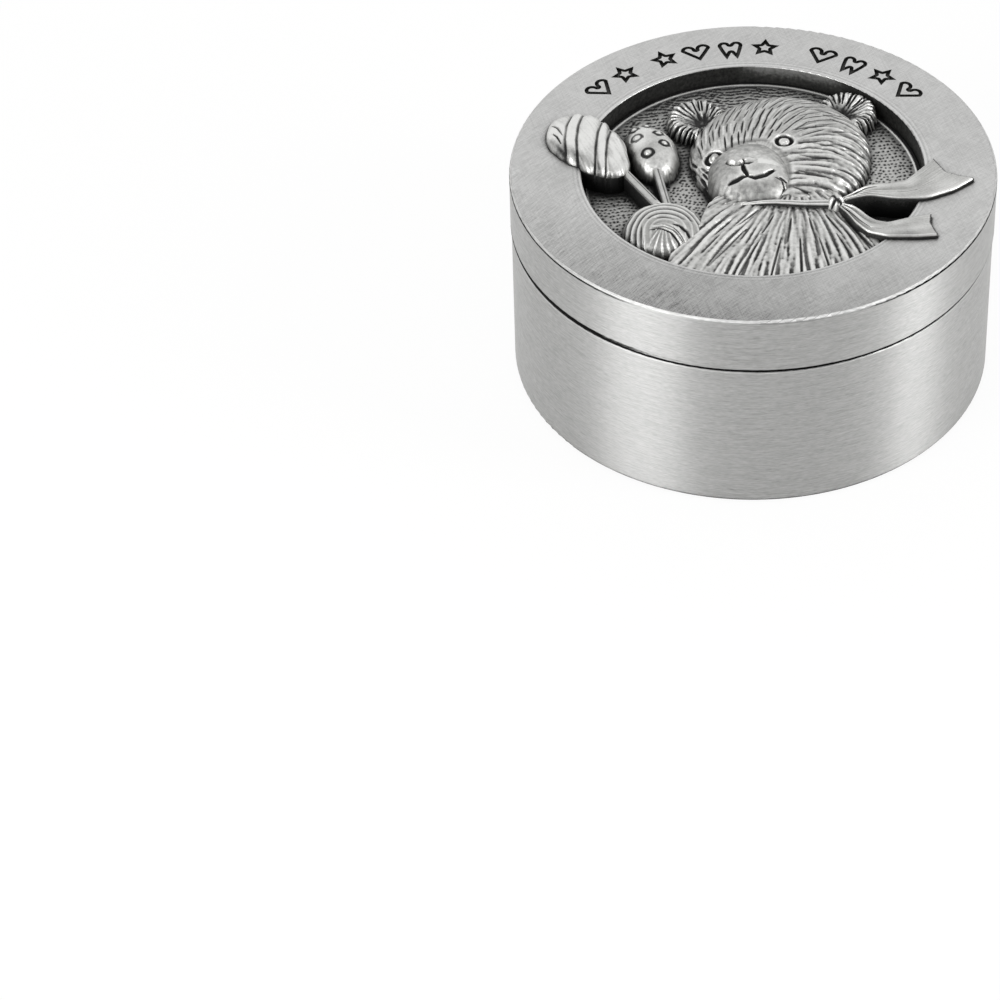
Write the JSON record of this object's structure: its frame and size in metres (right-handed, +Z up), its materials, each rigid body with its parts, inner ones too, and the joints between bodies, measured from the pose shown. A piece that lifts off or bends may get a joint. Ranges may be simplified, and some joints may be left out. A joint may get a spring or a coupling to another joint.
{
  "type": "baby tooth keepsake box",
  "caption": "Round pewter keepsake box for a baby tooth, with a velvet lining and a lift-off lid that carries a teddy bear in relief.",
  "frame": {"origin": "centre of the base's flat underside", "axes": "+Z up through the middle of the lid, +Y towards the top of the bear's head, +X to the viewer's right"},
  "size_m": [0.045, 0.045, 0.0234],
  "materials": {
    "satin_pewter": "satin brushed pewter",
    "antique_pewter": "cast pewter with dark patina in its hollows and rubbed bright crests",
    "velvet": "black cut-pile velvet",
    "card": "grey-brown lining board"
  },
  "bodies": {
    "base": {"base_cup": "satin_pewter", "base_wall_card": "card", "base_wall_velvet": "velvet", "base_floor_card": "card", "base_floor_velvet": "velvet"},
    "lid_lining": {"lid_card_disc": "card", "lid_velvet_disc": "velvet"},
    "lid": {"lid_cover": "satin_pewter", "lid_spigot_ring": "satin_pewter", "medallion_ground": "antique_pewter", "bear_head": "antique_pewter", "bear_muzzle": "antique_pewter", "bear_nose": "antique_pewter", "bear_eyes": "antique_pewter", "bear_left_ear": "antique_pewter", "bear_right_ear": "antique_pewter", "bear_body": "antique_pewter", "bear_paw": "antique_pewter", "striped_rattle": "antique_pewter", "spotted_rattle": "antique_pewter", "neck_ribbon": "antique_pewter", "ribbon_knot": "antique_pewter", "upper_ribbon_tail": "antique_pewter", "lower_ribbon_tail": "antique_pewter"}
  },
  "joints": [
    {"name": "lid_lift", "type": "slide", "parent": "base", "child": "lid_lining", "axis": [0, 0, 1], "range_m": [0, 0.045]},
    {"name": "lid_turn", "type": "hinge", "parent": "lid_lining", "child": "lid", "pos_m": [0, 0, 0.0156], "axis": [0, 0, 1], "continuous": true}
  ]
}
